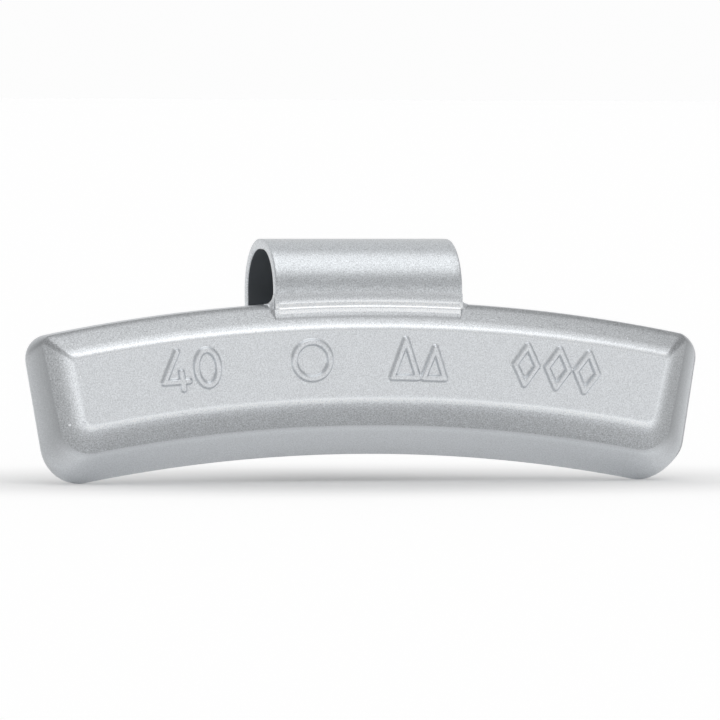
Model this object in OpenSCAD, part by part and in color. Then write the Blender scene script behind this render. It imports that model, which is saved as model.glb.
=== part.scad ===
// Clip-on wheel balance weight: a zinc casting, curved to follow the rim, with a spring steel hook.
// The rim flange enters the hook from below. The frame's origin is where the flange's edge bears,
// at the middle of the crown. X runs along the weight, -Y is the outside of the wheel, +Z is outwards.

/* [Casting] */
// Radius of the lower edge about the wheel's axis
rim_r = 166; // [150:1:230]
// Height from the lower edge to the upper edge, along the wheel's radius
body_h = 16.7; // [15.5:0.1:19]
// Length from tip to tip
body_l = 76; // [60:1:84]
// Depth from the raised face to the back, along the lower edge
body_d = 4.9; // [4.7:0.1:6.6]
// Lean of the ends, measured from upright
end_lean = 9.6; // [6:0.2:13]
// How far the upper edge leans back, behind the upright raised face
body_lean = 0.8; // [0:0.1:1.1]
// Corner radius at the upper ends
top_corner_r = 2.6; // [2:0.1:4]
// Corner radius at the lower ends, along the widest line
low_corner_r = 3.2; // [3:0.1:5.5]
// Corner radius at the lower ends, along the back edge
back_corner_r = 4.4; // [3:0.1:6.5]

/* [Raised face] */
// Depth of the bevel that frames the raised face, along the lower edge
bevel_d = 1.4; // [1.1:0.05:1.6]
// Width of the bevel along the upper edge
bevel_top_w = 2.3; // [1.8:0.1:3.5]
// Width of the bevel along the lower edge
bevel_low_w = 2.75; // [1.8:0.05:3.5]
// Width of the bevel at each end
bevel_end_w = 2.65; // [1.8:0.05:4]
// Radius that softens the raised face's edge
face_edge_r = 1.1; // [0.4:0.1:1.6]
// Lean of the raised face's ends, measured from upright
face_lean = 12.5; // [9:0.5:16]

/* [Side wall] */
// How far the wall spreads below the bevel, along the lower edge
wall_low_w = 3.3; // [2.5:0.05:4.2]
// How far the wall spreads at each end, at the upper corner
wall_end_w = 1.55; // [0.8:0.05:2]
// How far the wall spreads along the upper edge
wall_top_w = 0.1; // [0.05:0.05:0.4]
// Depth of the widest line along the lower edge
low_line_d = 4.4; // [3.6:0.1:4.5]
// Depth of the widest line along the upper edge
top_line_d = 1.9; // [1.7:0.1:3.4]
// Depth of the widest line at the ends
end_line_d = 2.7; // [2.2:0.1:4]
// Bulge of the wall: 1 is a straight slope
wall_bulge = 1.1; // [1.05:0.05:1.6]
// Rounding of the back edge along the lower side
back_edge_w = 0.45; // [0.2:0.05:0.9]
// Rounding of the back edge along the upper side
back_top_w = 0.5; // [0.2:0.05:0.9]
// Rounding of the back edge at the ends
back_end_w = 1.2; // [0.4:0.1:1.8]

/* [Rim seat] */
// Depth of the hollow along the back that lies on the rim
seat_depth = 0.5; // [0.2:0.05:0.8]
// Radius of the hollow's section
seat_r = 24; // [18:1:40]

/* [Clip] */
// Width of the strip
clip_w = 21.2; // [16:0.1:26]
// Thickness of the strip
strip_t = 1.15; // [0.9:0.05:1.4]
// Depth of the strip's front behind the raised face
clip_setback = 1.5; // [1.3:0.05:1.7]
// Inner radius of the two bends of the crown
crown_r = 4.45; // [3.8:0.05:5]
// Length of the flat between the two bends
crown_flat = 1.2; // [0.4:0.1:2.5]
// Height of the crown's outside above the casting
crown_rise = 6.65; // [6.4:0.05:9]
// Length of the rear leg below the crown
rear_leg_l = 5.2; // [4:0.1:8]
// Inward lean of the rear leg, which grips the flange
rear_lean = 4; // [2:0.5:6]
// Length of the turned-out tip
tip_l = 1.3; // [0.8:0.1:2]
// Angle of the turned-out tip
tip_flare = 24; // [12:1:35]
// Inner radius of the bend above the tip
tip_bend_r = 1.6; // [1:0.1:2.5]

/* [Root of the clip] */
// Depth to which the strip is cast in
root_depth = 9.5; // [7:0.1:11]
// Diameter of the holes that the zinc fills
key_hole_d = 3.6; // [2.5:0.1:4.5]
// Distance between the two holes
key_hole_gap = 11; // [8:0.5:12]
// Height of the hole centres above the strip's lower end
key_hole_z = 3.4; // [3:0.1:4]
// Radius of the zinc that runs up the strip
root_fillet_r = 0.8; // [0.4:0.05:1.1]

/* [Hidden] */
$fn = 96;
zinc_colour = [0.74, 0.76, 0.78];
steel_colour = [0.68, 0.70, 0.72];
over = 0.01;
seat_facets = 720;
seat_run_out = 3;
fillet_foot = 1;

// Steps along each stretch of the outline and down the side of the casting
arc_steps = 12;
corner_steps = 8;
edge_steps = 4;
wall_steps = 9;
back_steps = 5;
bend_step = 4;

// The casting's place: its depth runs from the raised face backwards, along +Y
hook_w = 2 * (crown_r + strip_t) + crown_flat;
face_y = -clip_setback - hook_w / 2;
top_r = rim_r + body_h;
top_z = strip_t - crown_rise;
lean_slope = body_lean / body_h;
axis_z = top_z - top_r;
bend_z = -crown_r;
strip_y = face_y + clip_setback;
root_z = top_z - root_depth;

// Stretches of the strip from its root up: straight length, inner radius and angle of the bend after it
stretches = [
    [bend_z - root_z, crown_r, 90],
    [crown_flat, crown_r, 90 + rear_lean],
    [rear_leg_l, tip_bend_r, -tip_flare],
    [tip_l, 0, 0]
];

// Lean of the ends and corner radii along the depth: raised face, edge of the bevel, widest line
bevel_lean = face_lean - 0.4;
face_corner_r = 0.4;
bevel_top_corner_r = 0.9;
bevel_low_corner_r = 3.2;
face_low_corner_r = 0.8;

// Inset of one side at a depth, from its widest line: rounded edge, bevel, wall, rounded back
function side_inset(depth, bevel_w, wall_w, line_d, back_w) =
    let (
        slope = atan(bevel_d / bevel_w),
        edge_d = face_edge_r * (1 - cos(slope)),
        left = face_edge_r - depth
    )
    depth < edge_d ? wall_w + bevel_w + face_edge_r * tan(slope / 2)
        - sqrt(max(0, face_edge_r * face_edge_r - left * left))
    : depth < bevel_d ? wall_w + bevel_w * (1 - depth / bevel_d)
    : depth < line_d ? wall_w * pow(1 - (depth - bevel_d) / (line_d - bevel_d), wall_bulge)
    : back_w * (1 - sqrt(max(0, 1 - pow((depth - line_d) / (body_d - line_d), 2))));

// Points of a rounded corner, swept clockwise from one direction to the other
function corner_points(centre, r, from, to) =
    [for (i = [0:corner_steps]) let (a = from + (to - from) * i / corner_steps)
        centre + r * [cos(a), sin(a)]];

// Right half of the outline about the wheel's axis: upper arc, end, lower arc
function half_outline(low_r, high_r, half_l, lean, high_c, low_c) =
    let (
        out = [cos(lean), -sin(lean)],
        along = [sin(lean), cos(lean)],
        high_x = half_l - high_c,
        high_centre = [high_x, sqrt(pow(high_r - high_c, 2) - high_x * high_x)],
        base = high_centre + (high_c - low_c) * out,
        drop = base * along,
        reach = low_r + low_c,
        low_centre = base + (-drop + sqrt(drop * drop - base * base + reach * reach)) * along,
        high_a = atan2(high_centre[1], high_centre[0]),
        low_a = atan2(low_centre[1], low_centre[0])
    )
    concat(
        [for (i = [0:arc_steps - 1]) let (a = 90 + (high_a - 90) * i / arc_steps)
            high_r * [cos(a), sin(a)]],
        corner_points(high_centre, high_c, high_a, -lean),
        corner_points(low_centre, low_c, -lean, low_a - 180),
        [for (i = [1:arc_steps]) let (a = low_a + (90 - low_a) * i / arc_steps)
            low_r * [cos(a), sin(a)]]
    );

// Whole outline at a depth: the right half, then its mirror image without the shared points
function outline(depth) =
    let (
        end_line = [[0, face_lean], [bevel_d, bevel_lean], [end_line_d, end_lean], [body_d, end_lean]],
        high_c = lookup(depth, [[0, face_corner_r], [bevel_d, bevel_top_corner_r],
            [end_line_d, top_corner_r], [body_d, top_corner_r]]),
        low_c = lookup(depth, [[0, face_low_corner_r], [bevel_d, bevel_low_corner_r],
            [end_line_d, low_corner_r], [body_d, back_corner_r]]),
        right = half_outline(
            rim_r + side_inset(depth, bevel_low_w, wall_low_w, low_line_d, back_edge_w),
            top_r - side_inset(depth, bevel_top_w, wall_top_w, top_line_d, back_top_w),
            body_l / 2 - side_inset(depth, bevel_end_w, wall_end_w, end_line_d, back_end_w),
            lookup(depth, end_line), high_c, low_c),
        count = len(right)
    )
    concat(right, [for (i = [count - 2:-1:1]) [-right[i][0], right[i][1]]]);

// Depths of the outlines: close together where the side turns quickly
face_slope = atan(bevel_d / bevel_low_w);
depths = concat(
    [for (i = [0:edge_steps]) face_edge_r * (1 - cos(face_slope * i / edge_steps))],
    [for (i = [1:2]) bevel_d * (0.35 + 0.65 * i / 2)],
    [for (i = [1:wall_steps]) bevel_d + (low_line_d - bevel_d) * sin(90 * i / wall_steps)],
    [for (i = [1:back_steps]) low_line_d + (body_d - low_line_d) * sin(90 * i / back_steps)]
);

// Solid through all the outlines, closed by the raised face and the back
module casting_form() {
    rings = [for (d = depths) [for (p = outline(d))
        [p[0], face_y + d + lean_slope * min(1, d / bevel_d) * (p[1] - rim_r), axis_z + p[1]]]];
    n = len(rings[0]);
    last = len(rings) - 1;
    sides = [for (k = [0:last - 1], i = [0:n - 1]) let (j = (i + 1) % n)
        each [[k * n + i, k * n + n + j, k * n + j], [k * n + i, k * n + n + i, k * n + n + j]]];
    front = [for (i = [0:n - 1]) i];
    back = [for (i = [n - 1:-1:0]) last * n + i];
    polyhedron(points = [for (r = rings) each r], faces = concat(sides, [front], [back]), convexity = 4);
}

// Hollow along the back, turned about the wheel's axis as the rim is, and square to the leaning back
module rim_seat() {
    mid_r = rim_r + body_h / 2;
    stand_off = (seat_r - seat_depth) * cos(atan(lean_slope));
    sweep = 2 * asin(body_l / 2 / rim_r) + 2 * seat_run_out;
    translate([0, face_y + body_d + body_lean / 2 + stand_off, axis_z])
        rotate([90, sweep / 2 - 90, 0])
            rotate_extrude(angle = sweep, $fn = seat_facets)
                translate([mid_r - lean_slope * stand_off, 0])
                    circle(seat_r, $fn = seat_facets);
}

// Points of one side of the strip, a distance behind its front, walked stretch by stretch. A heading of
// 0 is straight up, and a bend's angle is positive where it turns towards the rim
function strip_side(setback, k = 0, at = [strip_y, root_z], heading = 0) =
    k == len(stretches) ? [] :
    let (
        bend_r = stretches[k][1],
        angle = stretches[k][2],
        bend_at = at + stretches[k][0] * [sin(heading), cos(heading)],
        centre_off = angle < 0 ? -bend_r : strip_t + bend_r,
        centre = bend_at + centre_off * [cos(heading), -sin(heading)],
        steps = max(1, ceil(abs(angle) / bend_step))
    )
    concat(
        k == 0 ? [at + [setback, 0]] : [],
        [for (i = [0:angle == 0 ? 0 : steps]) let (a = heading + angle * i / steps)
            centre + (setback - centre_off) * [cos(a), -sin(a)]],
        strip_side(setback, k + 1,
            centre - centre_off * [cos(heading + angle), -sin(heading + angle)], heading + angle)
    );

// Section of the strip, from its root up, over the crown and down behind the flange
module strip_section() {
    front = strip_side(0);
    rear = strip_side(strip_t);
    polygon(concat(front, [for (i = [len(rear) - 1:-1:0]) rear[i]]));
}

// Spring steel strip with the holes that lock it in the casting
module strip() {
    hole_z = root_z + key_hole_z;
    difference() {
        rotate([90, 0, 90])
            translate([0, 0, -clip_w / 2])
                linear_extrude(clip_w)
                    strip_section();
        for (side = [-1, 1])
            translate([side * key_hole_gap / 2, strip_y - strip_t, hole_z])
                rotate([-90, 0, 0])
                    cylinder(d = key_hole_d, h = 3 * strip_t);
    }
}

// Section of the zinc that runs up the strip, carried down into the casting
module fillet_section() {
    difference() {
        translate([-over, -fillet_foot])
            square([root_fillet_r + over, root_fillet_r + fillet_foot]);
        translate([root_fillet_r, root_fillet_r])
            circle(root_fillet_r);
    }
}

// Zinc that runs up both edges and the back of the strip
module root_fillet() {
    edge_x = clip_w / 2;
    edge_z = axis_z + sqrt(top_r * top_r - edge_x * edge_x);
    back_y = strip_y + strip_t;
    translate([0, 0, edge_z]) {
        for (side = [0, 1])
            mirror([side, 0, 0]) {
                translate([edge_x, back_y, 0])
                    rotate([90, 0, 0])
                        linear_extrude(strip_t)
                            fillet_section();
                translate([edge_x, back_y, 0])
                    rotate_extrude(angle = 90)
                        intersection() {
                            fillet_section();
                            translate([0, -fillet_foot])
                                square(root_fillet_r + fillet_foot);
                        }
            }
        translate([-edge_x, back_y, 0])
            rotate([90, 0, 90])
                linear_extrude(clip_w)
                    fillet_section();
    }
}

module weight_body() {
    color(zinc_colour)
        difference() {
            union() {
                casting_form();
                root_fillet();
            }
            rim_seat();
            strip();
        }
}

module rim_clip() {
    color(steel_colour)
        strip();
}

weight_body();
rim_clip();
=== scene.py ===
import math

import bmesh
import bpy
from mathutils import Matrix, Vector
from mathutils.bvhtree import BVHTree


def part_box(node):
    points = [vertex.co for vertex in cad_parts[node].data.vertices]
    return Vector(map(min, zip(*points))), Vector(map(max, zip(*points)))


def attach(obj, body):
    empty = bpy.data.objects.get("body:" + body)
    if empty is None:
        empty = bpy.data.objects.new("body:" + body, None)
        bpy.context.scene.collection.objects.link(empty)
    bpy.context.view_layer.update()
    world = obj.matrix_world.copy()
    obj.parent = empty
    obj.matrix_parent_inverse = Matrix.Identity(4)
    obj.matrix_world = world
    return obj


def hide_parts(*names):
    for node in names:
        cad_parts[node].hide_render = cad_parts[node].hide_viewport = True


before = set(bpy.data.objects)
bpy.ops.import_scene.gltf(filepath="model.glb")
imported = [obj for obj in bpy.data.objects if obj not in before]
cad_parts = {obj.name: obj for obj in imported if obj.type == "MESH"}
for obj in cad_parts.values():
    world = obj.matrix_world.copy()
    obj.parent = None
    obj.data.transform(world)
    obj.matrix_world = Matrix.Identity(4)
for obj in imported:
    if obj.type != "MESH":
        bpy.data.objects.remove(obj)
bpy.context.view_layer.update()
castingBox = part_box("weight_body")
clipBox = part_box("rim_clip")
mm = 0.001
print("frame loaded")

# the strip's front, half its width and its thickness, in millimetres like every size of a form below
stripFront = clipBox[0].y / mm
stripHalf = (clipBox[1].x - clipBox[0].x) / mm / 2
stripThick = clipBox[1].z / mm

white = (1, 1, 1, 1)
samePlace = 1e-4    # points nearer than this are one point
tiny = 1e-9         # stands in for a divisor of nothing


# Camera, floor and light

viewSize = {
    "azimuth": -16.73,      # degrees round from straight on, negative towards the left
    "elevation": 2.0,
    "roll": 0.37,
    "distance": 1.0,
    "sensor": 36.0,
    "clip": (0.05, 50.0),
    "framePixels": 720,
    "pixelSize": 0.10873 * mm,
    "target": Vector((0, -4.6, -14.0)) * mm,
    "targetPixel": (364.67, 379.08),
}

studio = {
    "floorSize": 12.0,
    "floorCells": 8,
    "floorColour": 0.86,
    "floorGlow": 0.25,      # added where the floor is seen or mirrored, away from the object
    "glowStart": 0.010,     # distance from the middle at which the glow sets in, across the object's depth
    "glowFull": 0.045,
    "glowOval": (0.6, 1, 1),    # distances along the object count for less
    "roomLevel": 0.56,
    "horizonLevel": 0.98,   # pale backdrop all round, up to a few degrees above the floor
    "horizonFull": 3.0,
    "horizonGone": 9.0,
    # soft light in the room: azimuth and elevation of its middle, the angles from there at which
    # it is full and gone, and its strength
    "softLights": [
        (12, 66, 10, 38, 1.05),
        (185, 10, 45, 95, 0.25),
    ],
}


def towards(azimuth, elevation):
    a, e = math.radians(azimuth), math.radians(elevation)
    return Vector((math.sin(a) * math.cos(e), -math.cos(a) * math.cos(e), math.sin(e)))


def viewAxes():
    v = viewSize
    turn, roll = math.radians(v["azimuth"]), math.radians(v["roll"])
    back = towards(v["azimuth"], v["elevation"])
    level = Vector((math.cos(turn), math.sin(turn), 0))
    upright = back.cross(level)
    right = math.cos(roll) * level + math.sin(roll) * upright
    up = -math.sin(roll) * level + math.cos(roll) * upright
    return right, up, back


def makeCamera():
    v = viewSize
    right, up, back = viewAxes()
    aside = (v["targetPixel"][0] - v["framePixels"] / 2) * v["pixelSize"]
    below = (v["targetPixel"][1] - v["framePixels"] / 2) * v["pixelSize"]
    data = bpy.data.cameras.new("camera")
    data.sensor_width = v["sensor"]
    data.lens = v["sensor"] * v["distance"] / (v["framePixels"] * v["pixelSize"])
    data.clip_start, data.clip_end = v["clip"]
    camera = bpy.data.objects.new("camera", data)
    bpy.context.scene.collection.objects.link(camera)
    turn = Matrix((right, up, back)).transposed().to_4x4()
    place = v["target"] + back * v["distance"] - right * aside + up * below
    camera.matrix_world = Matrix.Translation(place) @ turn
    bpy.context.scene.camera = camera


def mathNode(tree, operation, first, second):
    # each of the two values is a number or another node's output
    node = tree.nodes.new("ShaderNodeMath")
    node.operation = operation
    for socket, value in zip(node.inputs, (first, second)):
        if isinstance(value, bpy.types.NodeSocket):
            tree.links.new(value, socket)
        else:
            socket.default_value = value
    return node.outputs["Value"]


def smoothRange(tree, value, fromMin, fromMax, toMin, toMax):
    node = tree.nodes.new("ShaderNodeMapRange")
    node.interpolation_type = "SMOOTHSTEP"
    node.inputs["From Min"].default_value = fromMin
    node.inputs["From Max"].default_value = fromMax
    node.inputs["To Min"].default_value = toMin
    node.inputs["To Max"].default_value = toMax
    tree.links.new(value, node.inputs["Value"])
    return node.outputs["Result"]


def makeWorld():
    world = bpy.data.worlds.new("studioWorld")
    bpy.context.scene.world = world
    world.use_nodes = True
    tree = world.node_tree
    nodes, links = tree.nodes, tree.links
    nodes.clear()
    place = nodes.new("ShaderNodeTexCoord").outputs["Generated"]
    level = studio["roomLevel"]
    for azimuth, elevation, full, gone, strength in studio["softLights"]:
        near = nodes.new("ShaderNodeVectorMath")
        near.operation = "DOT_PRODUCT"
        near.inputs[1].default_value = towards(azimuth, elevation)
        links.new(place, near.inputs[0])
        goneAt, fullAt = math.cos(math.radians(gone)), math.cos(math.radians(full))
        fall = smoothRange(tree, near.outputs["Value"], goneAt, fullAt, 0, strength)
        level = mathNode(tree, "ADD", fall, level)
    height = nodes.new("ShaderNodeSeparateXYZ")
    links.new(place, height.inputs["Vector"])
    fullAt, goneAt = (math.sin(math.radians(studio[k])) for k in ("horizonFull", "horizonGone"))
    both = nodes.new("ShaderNodeMix")
    both.inputs["B"].default_value = studio["horizonLevel"]
    links.new(smoothRange(tree, height.outputs["Z"], fullAt, goneAt, 1, 0), both.inputs["Factor"])
    links.new(level, both.inputs["A"])
    light = nodes.new("ShaderNodeBackground")
    light.inputs["Color"].default_value = white
    out = nodes.new("ShaderNodeOutputWorld")
    links.new(both.outputs["Result"], light.inputs["Strength"])
    links.new(light.outputs["Background"], out.inputs["Surface"])


def paleFloor():
    material = bpy.data.materials.new("paleFloor")
    material.use_nodes = True
    tree = material.node_tree
    nodes, links = tree.nodes, tree.links
    nodes.clear()
    matt = nodes.new("ShaderNodeBsdfDiffuse")
    matt.inputs["Color"].default_value = (studio["floorColour"],) * 3 + (1,)

    # the glow fades out round the object, so that its shadow stays
    place = nodes.new("ShaderNodeTexCoord")
    oval = nodes.new("ShaderNodeMapping")
    oval.inputs["Scale"].default_value = studio["glowOval"]
    away = nodes.new("ShaderNodeVectorMath")
    away.operation = "LENGTH"
    links.new(place.outputs["Object"], oval.inputs["Vector"])
    links.new(oval.outputs["Vector"], away.inputs[0])
    start, full = studio["glowStart"], studio["glowFull"]
    fade = smoothRange(tree, away.outputs["Value"], start, full, 0, studio["floorGlow"])
    rays = nodes.new("ShaderNodeLightPath").outputs
    mirrored = mathNode(tree, "MAXIMUM", rays["Is Glossy Ray"], rays["Is Transmission Ray"])
    seen = mathNode(tree, "MAXIMUM", rays["Is Camera Ray"], mirrored)
    glow = nodes.new("ShaderNodeEmission")
    glow.inputs["Color"].default_value = white
    links.new(mathNode(tree, "MULTIPLY", seen, fade), glow.inputs["Strength"])
    both = nodes.new("ShaderNodeAddShader")
    out = nodes.new("ShaderNodeOutputMaterial")
    links.new(matt.outputs["BSDF"], both.inputs[0])
    links.new(glow.outputs["Emission"], both.inputs[1])
    links.new(both.outputs["Shader"], out.inputs["Surface"])
    return material


def makeFloor():
    bm = bmesh.new()
    cells = studio["floorCells"]
    bmesh.ops.create_grid(bm, x_segments=cells, y_segments=cells, size=studio["floorSize"] / 2)
    mesh = bpy.data.meshes.new("floor")
    bm.to_mesh(mesh)
    bm.free()
    mesh.materials.append(paleFloor())
    floor = bpy.data.objects.new("floor", mesh)
    floor.location.z = castingBox[0].z
    bpy.context.scene.collection.objects.link(floor)


# Paint

paint = {
    "zincColour": (0.683, 0.705, 0.728),
    "steelColour": (0.60, 0.624, 0.646),
    "metallic": 0.85,
    "roughness": 0.30,
    "insideShadeColour": (0.09, 0.10, 0.11),     # painted shade: the hook's inside is near black where it lies in shade
    "insideMetallic": 0.2,
    "insideRoughness": 0.6,
    "flakeSize": 0.13 * mm,
    "flakeDetail": 2,
    "flakeMiddle": 0.5,         # the noise runs evenly to both sides of this
    "flakeContrast": 1.3,
    "flakeTilt": 0.30,
    "flakeRise": 0.02 * mm,
    "zincPaintedLight": "paintedLightTone",     # painted light and shade, and the coat's grain, kept on the casting's points
    "zincGrain": "coatGrain",
}


def coatValue(tree, name):
    value = tree.nodes.new("ShaderNodeAttribute")
    value.attribute_name = name
    return value.outputs["Fac"]


def silverPaint(name, colour, withPaintedLight):
    material = bpy.data.materials.new(name)
    material.use_nodes = True
    tree = material.node_tree
    nodes, links = tree.nodes, tree.links
    shader = nodes["Principled BSDF"]
    shader.inputs["Metallic"].default_value = paint["metallic"]
    shader.inputs["Roughness"].default_value = paint["roughness"]
    place = nodes.new("ShaderNodeTexCoord")

    # flakes tilt a little each way, and each one is a little lighter or darker
    flakes = nodes.new("ShaderNodeTexNoise")
    flakes.inputs["Scale"].default_value = 1 / paint["flakeSize"]
    flakes.inputs["Detail"].default_value = paint["flakeDetail"]
    links.new(place.outputs["Object"], flakes.inputs["Vector"])
    lighter = mathNode(tree, "SUBTRACT", flakes.outputs["Fac"], paint["flakeMiddle"])
    grain = mathNode(tree, "MULTIPLY", lighter, paint["flakeContrast"])
    if withPaintedLight:
        grain = mathNode(tree, "MULTIPLY", grain, coatValue(tree, paint["zincGrain"]))
    shade = mathNode(tree, "ADD", grain, 1)
    # painted light and shade: on the casting the colour is made lighter or darker by the tone kept on its
    # points
    if withPaintedLight:
        shade = mathNode(tree, "MULTIPLY", shade, coatValue(tree, paint["zincPaintedLight"]))
    coat = nodes.new("ShaderNodeVectorMath")
    coat.operation = "SCALE"
    coat.inputs[0].default_value = colour
    links.new(shade, coat.inputs["Scale"])
    links.new(coat.outputs["Vector"], shader.inputs["Base Color"])

    bump = nodes.new("ShaderNodeBump")
    bump.inputs["Strength"].default_value = paint["flakeTilt"]
    bump.inputs["Distance"].default_value = paint["flakeRise"]
    links.new(flakes.outputs["Fac"], bump.inputs["Height"])
    links.new(bump.outputs["Normal"], shader.inputs["Normal"])
    return material


def hookInsideShade():
    # painted shade: a dark, dull coat for the inside of the hook
    material = bpy.data.materials.new("hookInsideShade")
    material.use_nodes = True
    shader = material.node_tree.nodes["Principled BSDF"]
    shader.inputs["Base Color"].default_value = paint["insideShadeColour"] + (1,)
    shader.inputs["Metallic"].default_value = paint["insideMetallic"]
    shader.inputs["Roughness"].default_value = paint["insideRoughness"]
    return material


# Forms drawn on from their end faces, which then lie inside unless they close the first end

def clamped(value):
    return max(0.0, min(1.0, value))


def dropInside(bm, faces):
    left = [f for f in faces if f.is_valid]
    bmesh.ops.delete(bm, geom=left, context="FACES")


def drawOn(bm, faces, move, isFirst=True):
    made = bmesh.ops.extrude_face_region(bm, geom=faces)["geom"]
    bmesh.ops.translate(bm, vec=move, verts=[g for g in made if isinstance(g, bmesh.types.BMVert)])
    if not isFirst:
        dropInside(bm, faces)
    return [g for g in made if isinstance(g, bmesh.types.BMFace)]


def spinOn(bm, faces, centre, axis, angle, steps):
    made = bmesh.ops.spin(bm, geom=faces, cent=centre, axis=axis, angle=angle, steps=steps)
    dropInside(bm, faces)
    return [g for g in made["geom_last"] if isinstance(g, bmesh.types.BMFace)]


def edgesAlong(bm, axis, length):
    # edges that cross more than half of this length along one axis
    return [e for e in bm.edges if abs(e.verts[0].co[axis] - e.verts[1].co[axis]) > length / 2]


def faceOutward(bm):
    bmesh.ops.recalc_face_normals(bm, faces=bm.faces)
    if bm.calc_volume(signed=True) < 0:
        bmesh.ops.reverse_faces(bm, faces=bm.faces)


# Casting: a straight block of grid faces, closed by an extrusion, then given its true form ring by ring

casting = {
    "lowRadius": 166.0,     # lower edge about the wheel's axis
    "height": 16.7,
    "halfLength": 38.0,
    "top": -5.5,            # height of the upper edge below the inside of the hook
    "beforeStrip": 1.5,     # how far the raised face lies in front of the strip
    "depth": 4.9,
    "lean": 0.8,            # how far the upper edge leans back, behind the upright raised face
    "edgeRadius": 2.0,      # rounds the raised face into the bevel
    "bevelDepth": 1.4,
    "bevelTop": 2.65,       # width of the bevel along the upper side, the lower side and the ends
    "bevelLow": 2.75,
    "bevelEnd": 2.65,
    "wallTop": 0.1,         # how far the wall spreads behind the bevel
    "wallLow": 3.3,
    "wallEnd": 1.55,
    "wallBulge": 1.1,
    "topLineDepth": 1.9,    # depth of the widest line
    "lowLineDepth": 4.4,
    "endLineDepth": 2.7,
    "backTop": 0.5,         # how far the back is rounded in from the widest line
    "backLow": 0.45,
    "backEnd": 1.2,
    # by depth: degrees by which the ends lean, and the radius of the upper and the lower corners
    "endLean": [(0, 12.5), (1.4, 12.1), (2.7, 9.6), (4.9, 9.6)],
    "topCorner": [(0, 0.4), (1.4, 0.9), (2.7, 2.6), (4.9, 2.6)],
    "lowCorner": [(0, 0.8), (1.4, 3.2), (2.7, 3.2), (4.9, 4.4)],
    "seatDepth": 0.5,       # hollow along the back
    "seatRadius": 24.0,
    "columns": 74,          # faces along each half, the corner's share included
    "rows": 26,
    "cornerSteps": 5,
    "edgeSteps": 7,
    "bevelSteps": 4,
    "creaseStep": 0.08,     # a ring this far behind the crease lets the painted shade change sharply there
    "wallSteps": 14,
    "backSteps": 8,
    # painted light and shade on each side, by depth behind the raised face: a painted highlight along the
    # edge, then painted shade and reflection over the bevel, crease, wall and back
    "paintedLightTones": {
        "low": [(0, 1.03), (0.02, 1.35), (0.11, 1.32), (0.27, 0.93), (0.47, 0.86), (0.8, 0.8), (1.4, 0.78),
                (1.48, 1.05), (1.55, 1.25), (2, 1.12), (4.4, 1.06), (4.9, 0.85)],
        "high": [(0, 1.03), (0.005, 1.3), (0.09, 1.32), (0.17, 1), (0.25, 0.8), (0.45, 0.6), (1.4, 0.55),
                 (1.48, 0.95), (4.9, 0.85)],
        "left": [(0, 1.03), (0.02, 1.15), (0.1, 1.2), (0.25, 1.05), (0.45, 0.87), (0.7, 0.66), (1.1, 0.59),
                 (1.4, 0.57), (1.48, 0.48), (2.1, 0.62), (2.7, 0.76), (4.9, 0.85)],
        "right": [(0, 1.03), (0.02, 1.12), (0.1, 0.93), (0.3, 0.73), (0.7, 0.58), (1.4, 0.54),
                  (1.48, 0.47), (2.1, 0.68), (2.7, 0.95), (4.9, 0.85)],
    },
    "grains": [(0, 0.7), (0.2, 0.9), (0.5, 1.1), (1.4, 1.1), (1.48, 0.35), (4.9, 0.35)],
}


def lookUp(table, depth):
    for (d0, v0), (d1, v1) in zip(table, table[1:]):
        if depth <= d1:
            return v0 + (v1 - v0) * (depth - d0) / (d1 - d0)
    return table[-1][1]


def faceY():
    return stripFront - casting["beforeStrip"]


def axisZ():
    return casting["top"] - casting["lowRadius"] - casting["height"]


def sideInset(depth, bevelWidth, wallWidth, lineDepth, backWidth):
    # how far in a side lies at this depth: rounded edge, bevel, wall, rounded back
    c = casting
    radius = c["edgeRadius"]
    slope = math.atan(c["bevelDepth"] / bevelWidth)
    if depth < radius * (1 - math.cos(slope)):
        flat = wallWidth + bevelWidth + radius * math.tan(slope / 2)
        return flat - math.sqrt(max(0, radius ** 2 - (radius - depth) ** 2))
    if depth < c["bevelDepth"]:
        return wallWidth + bevelWidth * (1 - depth / c["bevelDepth"])
    if depth < lineDepth:
        part = (depth - c["bevelDepth"]) / (lineDepth - c["bevelDepth"])
        return wallWidth * (1 - part) ** c["wallBulge"]
    part = min(1, (depth - lineDepth) / (c["depth"] - lineDepth))
    return backWidth * (1 - math.sqrt(1 - part ** 2))


def ringAt(depth):
    # outline about the wheel's axis: two arcs, joined by a leaning line that runs into two rounded corners
    c = casting
    lowR = c["lowRadius"] + sideInset(depth, c["bevelLow"], c["wallLow"], c["lowLineDepth"], c["backLow"])
    highR = c["lowRadius"] + c["height"]
    highR -= sideInset(depth, c["bevelTop"], c["wallTop"], c["topLineDepth"], c["backTop"])
    halfL = c["halfLength"] - sideInset(depth, c["bevelEnd"], c["wallEnd"], c["endLineDepth"], c["backEnd"])
    lean = math.radians(lookUp(c["endLean"], depth))
    highC, lowC = lookUp(c["topCorner"], depth), lookUp(c["lowCorner"], depth)
    out = Vector((math.cos(lean), -math.sin(lean)))
    along = Vector((math.sin(lean), math.cos(lean)))
    highCentre = Vector((halfL - highC, math.sqrt((highR - highC) ** 2 - (halfL - highC) ** 2)))
    base = highCentre + (highC - lowC) * out
    drop = base.dot(along)
    reach = lowR + lowC
    lowCentre = base + (-drop + math.sqrt(drop ** 2 - base.dot(base) + reach ** 2)) * along
    return {
        "lowR": lowR, "highR": highR, "lowC": lowC, "highC": highC, "lean": lean,
        "lowCentre": lowCentre, "highCentre": highCentre,
        "lowA": math.atan2(lowCentre.y, lowCentre.x), "highA": math.atan2(highCentre.y, highCentre.x),
    }


def polar(centre, radius, angle):
    return centre + radius * Vector((math.cos(angle), math.sin(angle)))


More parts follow.
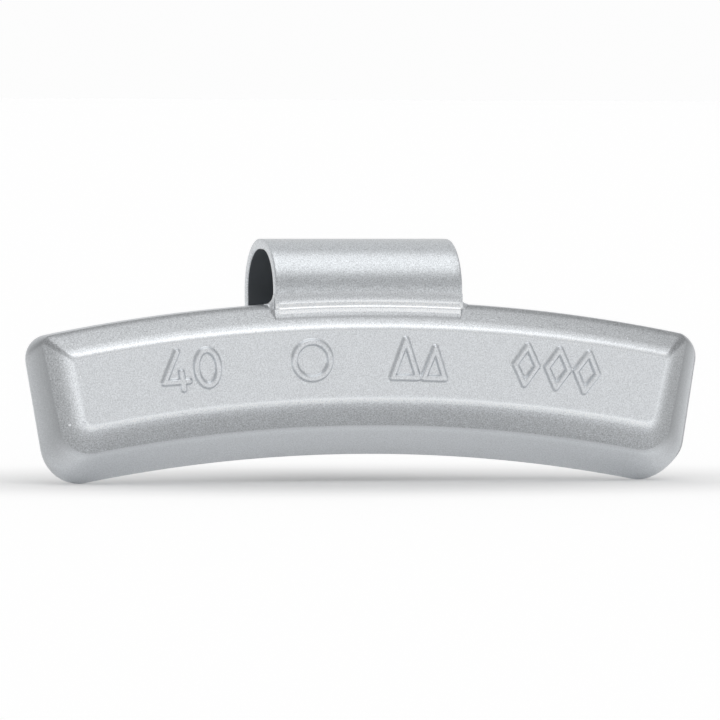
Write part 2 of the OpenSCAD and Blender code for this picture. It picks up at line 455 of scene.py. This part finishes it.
def longSide(ring, name, column):
    # point of the lower or upper side, by its column from the middle, as far as the middle of the corner
    straight = casting["columns"] - casting["cornerSteps"]
    angle, centre = ring[name + "A"], ring[name + "Centre"]
    k = abs(column)
    if k <= straight:
        point = polar(Vector((0, 0)), ring[name + "R"], math.pi / 2 + (angle - math.pi / 2) * k / straight)
    else:
        start = angle if name == "high" else angle - math.pi
        half = (-ring["lean"] - start) / 2
        point = polar(centre, ring[name + "C"], start + half * (k - straight) / casting["cornerSteps"])
    return Vector((-point.x, point.y)) if column < 0 else point


def endSide(ring, row):
    # point of the right end, from the middle of the lower corner to the middle of the upper one
    steps, rows = casting["cornerSteps"], casting["rows"]
    lean = ring["lean"]
    if row <= steps:
        half = (ring["lowA"] - math.pi + lean) / 2
        return polar(ring["lowCentre"], ring["lowC"], -lean + half * (steps - row) / steps)
    if row >= rows - steps:
        half = (ring["highA"] + lean) / 2
        return polar(ring["highCentre"], ring["highC"], -lean + half * (row - rows + steps) / steps)
    low = polar(ring["lowCentre"], ring["lowC"], -lean)
    high = polar(ring["highCentre"], ring["highC"], -lean)
    return low.lerp(high, (row - steps) / (rows - 2 * steps))


def ringPoint(ring, column, row):
    # a grid point in the ring's plane, blended from its four sides
    columns, rows = casting["columns"], casting["rows"]
    u, v = (column + columns) / (2 * columns), row / rows
    low, high = longSide(ring, "low", column), longSide(ring, "high", column)
    right = endSide(ring, row)
    left = Vector((-right.x, right.y))
    corners = [longSide(ring, n, k) for n in ("low", "high") for k in (-columns, columns)]
    blend = corners[0].lerp(corners[1], u).lerp(corners[2].lerp(corners[3], u), v)
    return low.lerp(high, v) + left.lerp(right, u) - blend


def ringDepths():
    # rings stand closest where the form turns most
    c = casting
    slope = math.atan(c["bevelDepth"] / c["bevelLow"])
    depths = [c["edgeRadius"] * (1 - math.cos(slope * i / c["edgeSteps"]))
              for i in range(c["edgeSteps"] + 1)]
    start = depths[-1]
    bevel = c["bevelDepth"] - start
    depths += [start + bevel * i / c["bevelSteps"] for i in range(1, c["bevelSteps"] + 1)]
    depths.append(c["bevelDepth"] + c["creaseStep"])
    for first, last, steps in ((c["bevelDepth"], c["lowLineDepth"], c["wallSteps"]),
                               (c["lowLineDepth"], c["depth"], c["backSteps"])):
        depths += [first + (last - first) * math.sin(math.pi / 2 * i / steps) for i in range(1, steps + 1)]
    return depths


def makeCastingForm():
    c = casting
    columns, rows = c["columns"], c["rows"]
    depths = ringDepths()
    lastRing = len(depths) - 1
    bm = bmesh.new()
    bmesh.ops.create_grid(bm, x_segments=2 * columns, y_segments=rows, size=1)
    drawOn(bm, bm.faces[:], (0, 0, lastRing))
    bmesh.ops.subdivide_edges(bm, edges=edgesAlong(bm, 2, lastRing), cuts=lastRing - 1)

    rings = [ringAt(d) for d in depths]
    slope = c["lean"] / c["height"]
    standOff = (c["seatRadius"] - c["seatDepth"]) * math.cos(math.atan(slope))
    seatR = c["lowRadius"] + c["height"] / 2 - slope * standOff
    seatY = faceY() + c["depth"] + c["lean"] / 2 + standOff
    bm.verts.index_update()
    depthOf = {}
    for v in bm.verts:
        column, row, k = round(v.co.x * columns), round((v.co.y + 1) / 2 * rows), round(v.co.z)
        depth = depths[k]
        depthOf[v.index] = depth
        point = ringPoint(rings[k], column, row)
        y = faceY() + depth + slope * min(1, depth / c["bevelDepth"]) * (point.y - c["lowRadius"])
        radial = abs(point.length - seatR)
        if radial < c["seatRadius"]:
            y = min(y, seatY - math.sqrt(c["seatRadius"] ** 2 - radial ** 2))
        v.co = (point.x, y, axisZ() + point.y)
    faceOutward(bm)
    paintSideLight(bm, depthOf)
    return bm


def paintSideLight(bm, depthOf):
    # painted light and shade for each side, blended round the corners by the way the surface faces
    c = casting
    tone = bm.verts.layers.float.new(paint["zincPaintedLight"])
    grain = bm.verts.layers.float.new(paint["zincGrain"])
    bm.normal_update()
    for v in bm.verts:
        depth = depthOf[v.index]
        across, upright = v.normal.x ** 2, v.normal.z ** 2
        share = across / max(across + upright, tiny)
        end = "left" if v.normal.x < 0 else "right"
        side = "high" if v.normal.z > 0 else "low"
        v[tone] = share * lookUp(c["paintedLightTones"][end], depth) + (1 - share) * lookUp(c["paintedLightTones"][side], depth)
        v[grain] = lookUp(c["grains"], depth)


# Raised marks: a number and plain shapes, swelling out of the raised face

marks = {
    "height": 0.40,
    "core": 0.17,           # distance from a stroke's middle at which it starts to fall
    "reach": 0.44,          # distance at which it has run out
    "cuts": 5,              # through each edge of the face's grid, as far round the marks as the margin
    "margin": 0.75,
    # places: distance along the arc, and height above the lower edge
    "four": [
        [(-21.65, 12.7), (-23.4, 9.55), (-20.65, 9.4)],
        [(-21.4, 10.45), (-21.3, 8.6)],
    ],
    "nought": ((-18.45, 10.6), 1.22, 1.92),     # centre, half width and half height
    "ring": ((-6.8, 10.5), 2.0, 2.0),
    "loopSteps": 32,
    "triangles": [(3.6, 1.45, 8.5, 12.6), (6.9, 1.2, 8.5, 11.8)],   # middle, half width, lowest, highest
    "diamonds": [17.2, 20.8, 24.1],
    "diamondHalf": 1.25,
    "diamondHeights": (8.5, 10.6, 12.7),
}


def strokeLoop(centre, halfWidth, halfHeight):
    steps = marks["loopSteps"]
    return [(centre[0] + halfWidth * math.cos(math.tau * i / steps),
             centre[1] + halfHeight * math.sin(math.tau * i / steps)) for i in range(steps + 1)]


def markStrokes():
    # four marks or rows of marks, each a list of strokes, and each stroke a chain of points
    m = marks
    number = m["four"] + [strokeLoop(*m["nought"])]
    ring = [strokeLoop(*m["ring"])]
    triangles = [[(at - half, low), (at, high), (at + half, low), (at - half, low)]
                 for at, half, low, high in m["triangles"]]
    low, middle, high = m["diamondHeights"]
    half = m["diamondHalf"]
    diamonds = [[(at, low), (at + half, middle), (at, high), (at - half, middle), (at, low)]
                for at in m["diamonds"]]
    return [number, ring, triangles, diamonds]


def strokeDistance(point, strokes):
    best = math.inf
    for chain in strokes:
        for (ax, ay), (bx, by) in zip(chain, chain[1:]):
            dx, dy = bx - ax, by - ay
            part = clamped(((point[0] - ax) * dx + (point[1] - ay) * dy) / (dx * dx + dy * dy))
            best = min(best, math.hypot(point[0] - ax - part * dx, point[1] - ay - part * dy))
    return best


def onFace(co):
    # place on the raised face: distance along the arc at mid height, and height above the lower edge
    c = casting
    high = co.z - axisZ()
    return (math.atan2(co.x, high) * (c["lowRadius"] + c["height"] / 2),
            math.hypot(co.x, high) - c["lowRadius"])


def raiseMarks(bm):
    m = marks
    groups = []
    for strokes in markStrokes():
        xs = [p[0] for chain in strokes for p in chain]
        ys = [p[1] for chain in strokes for p in chain]
        groups.append((strokes, (min(xs), max(xs), min(ys), max(ys))))

    def within(place, box, margin):
        return (box[0] - margin < place[0] < box[1] + margin
                and box[2] - margin < place[1] < box[3] + margin)

    flat = faceY() + samePlace
    finer = set()
    for f in bm.faces:
        if all(v.co.y < flat for v in f.verts):
            place = onFace(f.calc_center_median())
            if any(within(place, box, m["margin"]) for _, box in groups):
                finer.update(f.edges)
    chosen = [e for e in bm.edges if e in finer]
    bmesh.ops.subdivide_edges(bm, edges=chosen, cuts=m["cuts"], use_grid_fill=True)
    for v in bm.verts:
        if v.co.y < flat:
            place = onFace(v.co)
            for strokes, box in groups:
                if within(place, box, m["reach"]):
                    gone = clamped((strokeDistance(place, strokes) - m["core"]) / (m["reach"] - m["core"]))
                    v.co.y -= m["height"] * (1 - gone * gone * (3 - 2 * gone))


# Foot of the strip: paint that has run into the corner, a low pad before it, and zinc round its other sides

foot = {
    "runTop": -4.37,        # heights are below the inside of the hook
    "runStart": 0.004,      # stands this far before the strip, so that its upper edge doesn't show
    "runReach": 0.26,
    "runHeight": 1.23,
    "runSteps": 8,
    "runRound": 0.3,        # each end is rounded over this length
    "runPaintedLight": (0.82, 1.4),    # painted shade beside the strip, and a painted highlight at full reach
    "groove": 0.32,         # height of the upright stretch between the run and its bead
    "beadStart": 0.02,      # how much further out than the run the bead begins
    "beadReach": 0.16,
    "beadHeight": 0.33,
    "beadSteps": 8,
    "padReach": (0.10, 0.62),
    "padTop": -6.05,
    "padLow": -6.86,
    "padLip": (0.07, 0.21),     # how far the pad's lip stands out, and how far below its edge
    "padFrom": -11.1,
    "padTo": 10.5,
    "padRound": 0.45,
    "padTones": (0.72, 0.72),
    "below": 1.6,           # how far the run and the pad reach down into the casting
    "behind": 0.4,          # how far all three reach into the strip
    "lengthSteps": 60,
    "collarRadius": 0.95,
    "collarSetback": 0.3,   # starts this far behind the strip's front
    "collarFront": 0.35,    # share of its reach that it starts with
    "collarDepth": 1.2,
    "collarSteps": 7,
    "collarTone": 0.86,
    "sharpFrom": 0.35,      # edges that turn by more than this stay sharp, on the drops too
    "grain": 0.9,
}


def topDrop(x):
    # how far the upper side falls away from its middle
    radius = casting["lowRadius"] + casting["height"]
    return radius - math.sqrt(radius ** 2 - x ** 2)


def joinPart(bm, part, levels):
    # the part becomes one more closed shell of the casting, with its painted light and shade at each point
    faceOutward(part)
    for e in part.edges:
        e.smooth = e.calc_face_angle(0) < foot["sharpFrom"]
    tone = part.verts.layers.float.new(paint["zincPaintedLight"])
    grain = part.verts.layers.float.new(paint["zincGrain"])
    part.verts.index_update()
    for v in part.verts:
        v[tone] = levels[v.index]
        v[grain] = foot["grain"]
    mesh = bpy.data.meshes.new("part")
    part.to_mesh(mesh)
    part.free()
    bm.from_mesh(mesh)
    bpy.data.meshes.remove(mesh)


def runAlongStrip(bm, profile, fromX, toX, roundness, paintedLightTones):
    # profile: distance in front of the strip, and height
    part = bmesh.new()
    end = part.faces.new([part.verts.new((fromX, stripFront - reach, z)) for reach, z in profile])
    drawOn(part, [end], (toX - fromX, 0, 0))
    along = edgesAlong(part, 0, toX - fromX)
    bmesh.ops.subdivide_edges(part, edges=along, cuts=foot["lengthSteps"] - 1)
    levels = []
    for v in part.verts:
        share = clamped(min(v.co.x - fromX, toX - v.co.x) / roundness)
        reach = stripFront - v.co.y
        # painted light: the tone runs from the shade beside the strip to the highlight at full reach
        levels.append(paintedLightTones[0] + (paintedLightTones[1] - paintedLightTones[0]) * math.sqrt(clamped(reach / foot["runReach"])))
        if reach > 0:
            v.co.y = stripFront - reach * math.sqrt(1 - (1 - share) ** 2)
        v.co.z -= topDrop(v.co.x)
    joinPart(bm, part, levels)


def addFoot(bm):
    f = foot
    radius = (f["runReach"] ** 2 + f["runHeight"] ** 2) / (2 * f["runReach"])
    turn = 2 * math.atan(f["runReach"] / f["runHeight"])
    run = []
    for i in range(f["runSteps"] + 1):
        angle = turn * i / f["runSteps"]
        run.append((f["runStart"] + radius * (1 - math.cos(angle)), f["runTop"] - radius * math.sin(angle)))
    grooveZ = run[-1][1] - f["groove"]
    for i in range(f["beadSteps"] + 1):
        angle = math.pi / 2 * i / f["beadSteps"]
        run.append((f["runReach"] + f["beadStart"] + f["beadReach"] * math.sin(angle),
                    grooveZ - f["beadHeight"] * (1 - math.cos(angle))))
    floorZ = run[-1][1] - f["below"]
    run += [(run[-1][0], floorZ), (-f["behind"], floorZ), (-f["behind"], f["runTop"])]
    runAlongStrip(bm, run, -stripHalf, stripHalf, f["runRound"], f["runPaintedLight"])

    nearReach, farReach = f["padReach"]
    lipOut, lipDown = f["padLip"]
    pad = [(nearReach, f["padTop"]), (farReach, f["padLow"]), (farReach + lipOut, f["padLow"] - lipDown)]
    pad += [(farReach, floorZ), (-f["behind"], floorZ), (-f["behind"], f["padTop"])]
    runAlongStrip(bm, pad, f["padFrom"], f["padTo"], f["padRound"], f["padTones"])


def addCollar(bm):
    # a hollow corner section, drawn back along one edge of the strip, round the back and forward again
    f = foot
    radius, steps = f["collarRadius"], f["collarSteps"]
    frontY = stripFront + f["collarSetback"]
    backY = stripFront + stripThick
    base = casting["top"] - topDrop(stripHalf)
    section = [(-f["behind"], base - f["collarDepth"]), (-f["behind"], base + radius)]
    for i in range(steps + 1):
        angle = math.pi / 2 * i / steps
        section.append((radius * (1 - math.cos(angle)), base + radius * (1 - math.sin(angle))))
    section.append((radius, base - f["collarDepth"]))
    part = bmesh.new()
    start = [part.faces.new([part.verts.new((stripHalf + reach, frontY, z)) for reach, z in section])]
    ends = start
    for move, corner in (((0, backY - frontY, 0), (stripHalf, backY, 0)),
                         ((-2 * stripHalf, 0, 0), (-stripHalf, backY, 0)),
                         ((0, frontY - backY, 0), None)):
        ends = drawOn(part, ends, move, ends is start)
        if corner:
            ends = spinOn(part, ends, corner, (0, 0, 1), math.pi / 2, steps)
    bmesh.ops.remove_doubles(part, verts=part.verts, dist=samePlace)
    bmesh.ops.subdivide_edges(part, edges=edgesAlong(part, 1, backY - frontY), cuts=steps)

    # its foot follows the bevel down, and it runs out before the strip's front
    bevelBack = casting["bevelDepth"] + casting["lean"]
    slopeTop = faceY() + bevelBack
    for v in part.verts:
        reach = abs(v.co.x) - stripHalf
        if reach > 0 and v.co.y < backY:
            share = clamped((v.co.y - frontY) / (backY - frontY))
            fall = max(0, slopeTop - v.co.y) * casting["bevelTop"] / bevelBack
            v.co.z -= fall * min(1, reach / radius)
            reach *= f["collarFront"] + (1 - f["collarFront"]) * math.sqrt(share)
            v.co.x = math.copysign(stripHalf + reach, v.co.x)
    joinPart(bm, part, [f["collarTone"]] * len(part.verts))


# Small drops of paint that dried on the bevels

drops = {
    # place across the front, and height: millimetres in the object's own frame; then the radius
    "places": [(-34.35, -11.9, 0.17), (-32.5, -11.95, 0.15), (-33.8, -13.4, 0.16), (-32.8, -13.55, 0.13),
               (-32.4, -18.5, 0.24), (-33.7, -18.7, 0.18), (29.3, -9.6, 0.11)],
    "lookFrom": 5.0,        # how far before the raised face the search for the surface starts
    "finer": 2,
    "flatness": 0.6,
    # painted highlight: the drops are made lighter than the bevel round them
    "tone": 1.25,
}


def addDrops(bm):
    surface = BVHTree.FromBMesh(bm)
    for x, z, radius in drops["places"]:
        before = Vector((x, faceY() - drops["lookFrom"], z))
        spot, normal, _, _ = surface.ray_cast(before, Vector((0, 1, 0)))
        part = bmesh.new()
        bmesh.ops.create_icosphere(part, subdivisions=drops["finer"], radius=radius)
        bmesh.ops.scale(part, verts=part.verts, vec=(1, 1, drops["flatness"]))
        turn = normal.to_track_quat("Z", "Y").to_matrix()
        bmesh.ops.rotate(part, verts=part.verts, cent=(0, 0, 0), matrix=turn)
        bmesh.ops.translate(part, verts=part.verts, vec=spot)
        joinPart(bm, part, [drops["tone"]] * len(part.verts))


# Clip: a strip's end face, drawn up and spun round each bend

clip = {
    "crownRadius": 4.45,    # radii are on the inside of each bend
    "crownFlat": 1.2,
    "rearLean": 4.0,        # degrees by which the rear leg leans in
    "rearLeg": 5.2,
    "tipRadius": 1.6,
    "tipFlare": 24.0,       # degrees by which the tip turns out
    "tipLength": 1.3,
    "widthSteps": 24,
    "bendStep": 3.95,       # degrees to a face round a bend, at most
    "softness": 0.22,
    "softSteps": 4,
    "softFrom": 1.2,        # edges that turn by more than this are softened
    "sideFrom": 0.3,        # faces that look further aside than this are the strip's sheared sides
}


def makeClipForm():
    c = clip
    rootZ = clipBox[0].z / mm
    bm = bmesh.new()
    bmesh.ops.create_grid(bm, x_segments=c["widthSteps"], y_segments=1, size=0.5)
    bmesh.ops.scale(bm, vec=(2 * stripHalf, stripThick, 1), verts=bm.verts)
    bmesh.ops.translate(bm, vec=(0, stripFront + stripThick / 2, rootZ), verts=bm.verts)

    stretches = [
        # length, then the radius and the degrees of the bend after it
        (-c["crownRadius"] - rootZ, c["crownRadius"], 90.0),
        (c["crownFlat"], c["crownRadius"], 90.0 + c["rearLean"]),
        (c["rearLeg"], c["tipRadius"], -c["tipFlare"]),
        (c["tipLength"], 0, 0),
    ]
    place = Vector((0, stripFront, rootZ))
    heading = 0.0
    start = bm.faces[:]
    ends = start
    for length, radius, degrees in stretches:
        along = Vector((0, math.sin(heading), math.cos(heading))) * length
        ends = drawOn(bm, ends, along, ends is start)
        place += along
        if degrees:
            off = stripThick + radius if degrees > 0 else -radius
            centre = place + Vector((0, math.cos(heading), -math.sin(heading))) * off
            steps = math.ceil(abs(degrees) / c["bendStep"])
            ends = spinOn(bm, ends, centre, (-1, 0, 0), math.radians(degrees), steps)
            heading += math.radians(degrees)
            place = centre - Vector((0, math.cos(heading), -math.sin(heading))) * off
    bmesh.ops.remove_doubles(bm, verts=bm.verts, dist=samePlace)
    faceOutward(bm)
    sharp = [e for e in bm.edges if e.is_manifold and e.calc_face_angle(0) > c["softFrom"]]
    bmesh.ops.bevel(bm, geom=sharp, offset=c["softness"], offset_type="OFFSET", segments=c["softSteps"],
                    profile=0.5, affect="EDGES", material=-1, clamp_overlap=True)

    # faces that look at the middle of the hook get the second material, the painted shade of its inside
    for f in bm.faces:
        centre = f.calc_center_median()
        inwards = Vector((0, -centre.y, min(centre.z, -c["crownRadius"]) - centre.z))
        if abs(f.normal.x) < c["sideFrom"] and f.normal.dot(inwards) > 0:
            f.material_index = 1
    return bm


def finishPiece(name, bm, materials, node):
    bmesh.ops.scale(bm, vec=(mm, mm, mm), verts=bm.verts)
    for f in bm.faces:
        f.smooth = True
    mesh = bpy.data.meshes.new(name)
    bm.to_mesh(mesh)
    bm.free()
    for material in materials:
        mesh.materials.append(material)
    piece = bpy.data.objects.new(name, mesh)
    bpy.context.scene.collection.objects.link(piece)
    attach(piece, "root")
    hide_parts(node)
    print(name, len(mesh.polygons), "faces")


makeCamera()
makeWorld()
makeFloor()
print("studio ready")

zincPaint = silverPaint("zincPaint", paint["zincColour"], True)
steelPaint = silverPaint("steelPaint", paint["steelColour"], False)
print("paints ready")

castingForm = makeCastingForm()
raiseMarks(castingForm)
addFoot(castingForm)
addCollar(castingForm)
addDrops(castingForm)
finishPiece("zinc_casting", castingForm, [zincPaint], "weight_body")
finishPiece("spring_clip", makeClipForm(), [steelPaint, hookInsideShade()], "rim_clip")

bpy.context.scene.view_settings.view_transform = "Standard"
